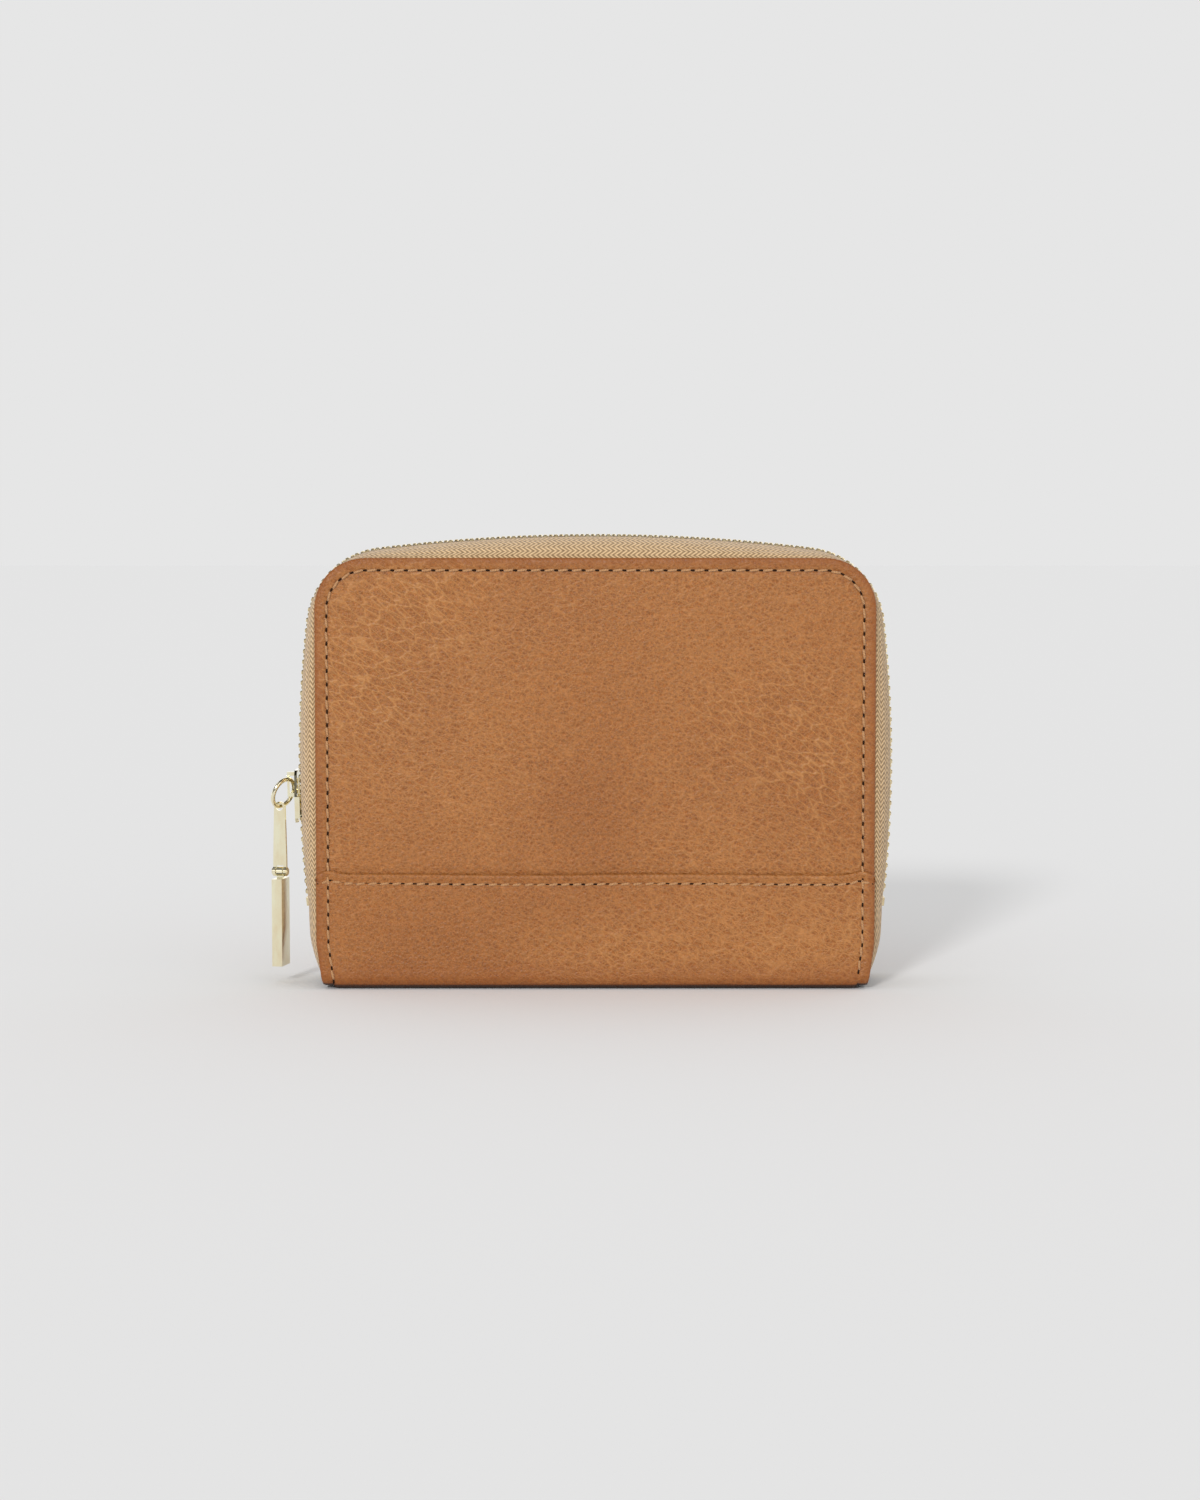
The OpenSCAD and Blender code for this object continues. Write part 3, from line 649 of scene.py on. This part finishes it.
def chain(s):
    """Point and outward direction of the right half of the chain, s millimetres from the crest."""
    if s < TOP_LEN:
        centre, radius, angle = TOP_C, TOP_R, math.pi / 2 - s / TOP_R
    elif s < TOP_LEN + CORNER_LEN:
        centre, radius, angle = CORNER_C, CHAIN_R, TOP_A - (s - TOP_LEN) / CHAIN_R
    else:
        centre, radius, angle = SIDE_C, SIDE_R, SIDE_A - (s - TOP_LEN - CORNER_LEN) / SIDE_R
    outward = Vector((math.cos(angle), math.sin(angle)))
    return centre + outward * radius, outward


def tape_stations():
    """Right half of the tape: cover edge point, its normal, chain point, its outward direction, run."""
    made, tops, corners, sides, tails = [], 40, 16, 40, 10
    centre = Vector((SIDE - CORNER_R, PANEL_H - CORNER_R))
    for k in range(tops):
        s = TOP_LEN * k / tops
        made.append((Vector((centre.x * k / tops, PANEL_H)), Vector((0, 1)), *chain(s), s))
    for k in range(corners):
        f = k / corners
        a = math.pi / 2 * (1 - f)
        normal = Vector((math.cos(a), math.sin(a)))
        s = TOP_LEN + CORNER_LEN * f
        made.append((centre + normal * CORNER_R, normal, *chain(s), s))
    for k in range(sides):
        f = k / sides
        s = TOP_LEN + CORNER_LEN + SIDE_LEN * f
        made.append((Vector((SIDE, centre.y + (TEETH_END - centre.y) * f)), Vector((1, 0)), *chain(s), s))
    last, _ = chain(CHAIN_LEN)
    sideways, tail_len = Vector((1, 0)), 15
    for k in range(tails + 1):
        a = math.pi / 2 * k / tails
        z = TEETH_END + (TAPE_END - TEETH_END) * math.sin(a)
        edge = Vector((half_at(z), z))
        place = Vector((half_at(z) + (last.x - SIDE) * math.cos(a), z))
        made.append((edge, sideways, place, sideways, CHAIN_LEN + tail_len * k / tails))
    return made


def zip_tape(name, out, body, node):
    """Woven tape from under the cover's edge to a corded edge at the teeth."""
    right = tape_stations()
    stations = [(-1, s) for s in reversed(right[1:])] + [(1, s) for s in right]
    seam_y, tuck, seam, thick, steps = INNER_LEATHER - 0.02, 0.4, 3.0, 0.42, 12
    points, uvs, faces = [], [], []
    for sign, (edge, normal, place, outward, run) in stations:
        sunk = min(max(0.0, (edge - place).dot(normal)), seam - 1)
        start = edge - normal * (tuck + sunk)
        seam_in = edge - normal * seam
        end = place + outward * thick / 2
        outer = [(seam_in, seam_y, tuck - seam)]
        inner = [(seam_in, seam_y - thick, 0.0)]
        for j in range(steps + 1):
            a = math.pi / 2 * j / steps
            p = start.lerp(end, math.sin(a))
            y = seam_y + (CHAIN_Y - seam_y) * (1 - math.cos(a))
            length = TAPE_W * j / steps
            cord = 0.16 * math.exp(-((j - steps) / 0.7) ** 2)
            outer.append((p + outward * cord, y, length))
            q = p - outward * (thick * math.sin(a) + cord)
            inner.append((q, y - thick * math.cos(a), length))
        for p, y, v in outer + list(reversed(inner)):
            points.append((sign * p.x, out * y, p.y))
            uvs.append((sign * run, v))
    ring = 2 * (steps + 2)
    for i in range(len(stations) - 1):
        for j in range(ring):
            a, b = i * ring + j, i * ring + (j + 1) % ring
            faces.append((a, b, b + ring, a + ring))
    faces.append(tuple(range(ring)))
    faces.append(tuple(reversed(range((len(stations) - 1) * ring, len(stations) * ring))))
    settle(mesh_piece(name, points, faces, TAPE, None, uvs), body, "zip_tape", node)


def tooth_shape():
    """One tooth from near its tip: outward, away from the middle plane, along the chain."""
    profile = ((-0.20, 0.60, 0.34), (-0.06, 0.78, 0.52), (0.35, 0.86, 0.58), (0.9, 0.84, 0.58),
               (1.25, 0.70, 0.46), (1.55, 0.66, 0.50), (2.0, 0.72, 0.56), (2.5, 0.72, 0.54),
               (2.72, 0.60, 0.40))
    ring = ((1, 0.55), (0.62, 1), (-0.62, 1), (-1, 0.55), (-1, -0.55), (-0.62, -1), (0.62, -1), (1, -0.55))
    made = [(u * high, across, w * long_half) for across, high, long_half in profile for u, w in ring]
    return made, len(profile), len(ring)


def zip_teeth(name, out, shift, body, node):
    """A row of cast teeth along the chain; the two rows are set half a pitch apart."""
    shape, rings, sides = tooth_shape()
    count = int((CHAIN_LEN - TOOTH_PITCH) / TOOTH_PITCH)
    points, faces = [], []
    for i in range(-count, count):
        s = (i + shift) * TOOTH_PITCH
        place, outward = chain(abs(s))
        sign = -1 if s < 0 else 1
        along = Vector((-outward.y, outward.x))
        base = len(points)
        for u, v, w in shape:
            p = place + outward * u + along * w
            points.append((sign * p.x, out * (TOOTH_Y + v), p.y))
        for k in range(rings - 1):
            for j in range(sides):
                a, b = base + k * sides + j, base + k * sides + (j + 1) % sides
                faces.append((a, b, b + sides, a + sides))
        faces.append(tuple(base + j for j in range(sides)))
        faces.append(tuple(base + (rings - 1) * sides + j for j in reversed(range(sides))))
    settle(mesh_piece(name, points, faces, TEETH, None, None, False), body, "gold_metal", node)


# ---------------------------------------------------------------- inside
# Sheets inside: CAD node, body, material, slot, upper corners, whether a line of stitches holds it.
SHEETS = [("front_lining", "front_cover", CLOTH, "lining", 9.0, False),
          ("back_lining", "back_cover", CLOTH, "lining", 9.0, False),
          ("note_pocket_tall", "back_cover", CLOTH, "lining", 2.5, True),
          ("note_pocket_low", "back_cover", CLOTH, "lining", 2.5, True),
          ("coin_front_wall", "coin_pocket", INNER, "leather", 2.0, True),
          ("coin_back_wall", "coin_pocket", INNER, "leather", 2.0, True)]
SHEETS += [(f"card_slot_{k}", "front_cover", INNER, "leather", 1.5, True) for k in range(1, 5)]


def flat_piece(node, body, material, slot, radius, stitched):
    """A lining, pocket or wall as a soft sheet on its CAD node's box, seen from inside the wallet."""
    low, high = (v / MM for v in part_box(node))
    out = 1 if abs(low.y) > abs(high.y) else -1
    if node.startswith("coin"):
        out = -out
    front = high.y if out > 0 else -low.y
    rect = (low.x, high.x, low.z, high.z)
    crest, foot_r, clear = 0.06, 1.2, 0.05
    made = sheet_piece(node + "_soft", rect, (radius, foot_r), front - crest, out, high.y - low.y - clear,
                       THIN_EDGE, material, swell=0.0, lumps=0.04)
    settle(made, body, slot, node)
    if stitched:
        side_in, foot_in, top_in, pitch = 1.8, 2.0, 2.2, 2.8
        side = [(low.x + side_in, z) for z in (low.z + foot_in, high.z - top_in)]
        path = [(x, 0, z) for x, z in side] + [(-x, 0, z) for x, z in reversed(side)]
        places = [(p.x, out * (front - 0.14), p.z) for p in spaced(path, pitch)]
        stitches(node + "_thread", places, out, pitch, body, holes=False)


def soft_box(name, node, body, material, slot, radius, strip=False):
    """A thin piece in the shape of its CAD node with rounded edges; a strip also gets the tape's UVs."""
    build = bmesh.new()
    build.from_mesh(nodes[node].data)
    bmesh.ops.remove_doubles(build, verts=build.verts, dist=1e-6)
    bmesh.ops.dissolve_limit(build, angle_limit=0.02, verts=build.verts, edges=build.edges)
    bmesh.ops.bevel(build, geom=list(build.edges), offset=radius * MM, segments=2, affect="EDGES",
                    profile=0.6, clamp_overlap=True)
    mesh = bpy.data.meshes.new(name)
    build.to_mesh(mesh)
    build.free()
    points = [tuple(c / MM for c in v.co) for v in mesh.vertices]
    faces = [tuple(p.vertices) for p in mesh.polygons]
    uvs = [(p[0], p[1]) for p in points] if strip else None
    made = mesh_piece(name, points, faces, material, None, uvs, False)
    settle(made, body, slot, node)


def gusset(name, node, sign):
    """Pleated lining between the covers."""
    low, high = (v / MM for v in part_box(node))
    outer = max(abs(low.x), abs(high.x)) - 0.8
    inner = min(abs(low.x), abs(high.x)) + 0.8
    front, back = low.y + 0.1, high.y - 0.15
    thick, pleats, steps, rows = 0.36, 6, 8, 28
    shallow = 2              # the other folds stop this much short of the middle one, at the coin pocket
    path = []
    for i in range(pleats * steps + 1):
        f = i / steps
        near = inner if 2 < f < 4 else inner + shallow
        swing = 0.5 + 0.5 * math.cos(math.pi * f)
        path.append((near + (outer - near) * swing, front + (back - front) * i / (pleats * steps)))
    points, faces = [], []
    for r in range(rows + 1):
        z = low.z + (high.z - low.z) * r / rows
        ease = 0.25 * noise.noise(Vector((sign * 3, z / 12, 1)))
        for side in (1, -1):
            for i, (x, y) in enumerate(path):
                a, b = Vector(path[max(i - 1, 0)]), Vector(path[min(i + 1, len(path) - 1)])
                normal = (b - a).orthogonal().normalized() * thick / 2 * side
                points.append((sign * (x + normal.x + ease * math.sin(i / 4)), y + normal.y, z))
    half = len(path)
    row = 2 * half
    order = list(range(half)) + list(reversed(range(half, row)))
    for r in range(rows):
        for j in range(row):
            a, b = order[j], order[(j + 1) % row]
            faces.append((r * row + a, r * row + b, (r + 1) * row + b, (r + 1) * row + a))
    faces += [tuple(order[::-1]), tuple(rows * row + k for k in order)]
    made = mesh_piece(name, points, faces, CLOTH)
    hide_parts(node)
    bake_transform(made)


# ---------------------------------------------------------------- hard pieces
def plated(node, material, bevel, segments=3):
    """Keeps a hard CAD piece, softens its edges and gives it its material."""
    piece = nodes[node]
    piece.data.materials.clear()
    piece.data.materials.append(material)
    soft = piece.modifiers.new("soft_edges", "BEVEL")
    soft.width = bevel * MM
    soft.segments = segments
    soft.limit_method = "ANGLE"
    soft.angle_limit = math.radians(32)
    for face in piece.data.polygons:
        face.use_smooth = False


# ---------------------------------------------------------------- the object
cover_leather("front_leather", -1, "front_cover", "front_panel")
cover_leather("back_leather", 1, "back_cover", "back_panel")
band_leather()
cover_stitches("front_edge_thread", -1, "front_cover")
cover_stitches("back_edge_thread", 1, "back_cover")
band_stitches("front_band_thread", -1, "front_cover")
band_stitches("back_band_thread", 1, "back_cover")
zip_tape("front_tape", -1, "front_cover", "front_zip_tape")
zip_tape("back_tape", 1, "back_cover", "back_zip_tape")
zip_teeth("front_teeth", -1, 0.25, "front_cover", "front_zip_teeth")
zip_teeth("back_teeth", 1, 0.75, "back_cover", "back_zip_teeth")
for sheet in SHEETS:
    flat_piece(*sheet)
soft_box("spine_lining_soft", "spine_lining", "back_cover", CLOTH, "lining", 0.2)
soft_box("coin_side_soft", "coin_side_strip", "coin_pocket", CLOTH, "lining", 0.2)
soft_box("coin_tapes_soft", "coin_zip_tapes", "coin_pocket", TAPE, "zip_tape", 0.15, strip=True)
gusset("left_gusset_soft", "left_gusset", -1)
gusset("right_gusset_soft", "right_gusset", 1)
for node, bevel in (("slider_body", 0.14), ("jump_ring", 0.01), ("pull_link", 0.06), ("pull_pin", 0.1),
                    ("pull_bar", 0.35), ("coin_zip_slider", 0.1), ("coin_zip_pull", 0.15)):
    plated(node, GOLD, bevel)
for node in ("front_zip_stops", "back_zip_stops", "coin_zip_teeth"):
    plated(node, TEETH, 0.15, 2)
for node in ("front_board", "back_board", "spine_board"):
    plated(node, CARD, 0.15, 2)

# ---------------------------------------------------------------- floor, light and camera
BACKDROP = 0.791         # the pale grey behind the object, linear


def floor():
    """A plain pale sheet, 12 metres across."""
    size = 6.0
    made = bpy.data.meshes.new("floor")
    corners = [(-size, -size, 0), (size, -size, 0), (size, size, 0), (-size, size, 0)]
    made.from_pydata(corners, [], [(0, 1, 2, 3)])
    surface = Nodes("floor_paper")
    made.materials.append(surface.finish((0.80,) * 3, 0.9, None, Specular_IOR_Level=0.0))
    plane = bpy.data.objects.new("floor", made)
    bpy.context.scene.collection.objects.link(plane)


def sky():
    """An even pale surround, in which glossy surfaces see bright and dark patches."""
    world = bpy.data.worlds.new("studio")
    bpy.context.scene.world = world
    world.use_nodes = True
    tree = world.node_tree
    background = tree.nodes["Background"]
    background.inputs["Strength"].default_value = 1.0
    place = tree.nodes.new("ShaderNodeTexCoord")
    wave = tree.nodes.new("ShaderNodeTexNoise")
    wave.inputs["Scale"].default_value = 1.4
    wave.inputs["Detail"].default_value = 0.5
    tree.links.new(place.outputs["Generated"], wave.inputs["Vector"])
    ramp = tree.nodes.new("ShaderNodeValToRGB")
    stops = ramp.color_ramp.elements
    stops[0].position, stops[0].color = 0.43, (0.02, 0.018, 0.015, 1)
    stops[1].position, stops[1].color = 0.52, (1.2, 1.2, 1.2, 1)
    tree.links.new(wave.outputs["Fac"], ramp.inputs["Fac"])
    rays = tree.nodes.new("ShaderNodeLightPath")
    mix = tree.nodes.new("ShaderNodeMix")
    mix.data_type = "RGBA"
    mix.inputs["A"].default_value = (BACKDROP, BACKDROP, BACKDROP, 1)
    tree.links.new(rays.outputs["Is Glossy Ray"], mix.inputs["Factor"])
    tree.links.new(ramp.outputs["Color"], mix.inputs["B"])
    tree.links.new(mix.outputs["Result"], background.inputs["Color"])


def sun(name, toward, strength, spread):
    """Light that travels along toward, with soft shadows from its spread in degrees."""
    lamp = bpy.data.lights.new(name, "SUN")
    lamp.energy = strength
    lamp.angle = math.radians(spread)
    made = bpy.data.objects.new(name, lamp)
    made.rotation_mode = "QUATERNION"
    made.rotation_quaternion = Vector(toward).to_track_quat("-Z", "Y")
    bpy.context.scene.collection.objects.link(made)


def camera():
    """Aimed at the wallet's middle from a little above it, looking along +Y."""
    distance, rise, focal = 0.70, math.radians(4.5), 71.4
    aim = Vector((1.1, -FACE, 56.9)) * MM
    data = bpy.data.cameras.new("camera")
    data.lens = focal
    made = bpy.data.objects.new("camera", data)
    made.location = aim + Vector((0, -math.cos(rise), math.sin(rise))) * distance
    made.rotation_mode = "QUATERNION"
    made.rotation_quaternion = (aim - made.location).to_track_quat("-Z", "Y")
    bpy.context.scene.collection.objects.link(made)
    bpy.context.scene.camera = made


floor()
sky()
level, drop = 0.906, 0.423   # the key light comes down at 25 degrees
sun("key", (0.32 * level, 0.95 * level, -drop), 1.35, 9)
camera()
bpy.context.scene.view_settings.view_transform = "Standard"
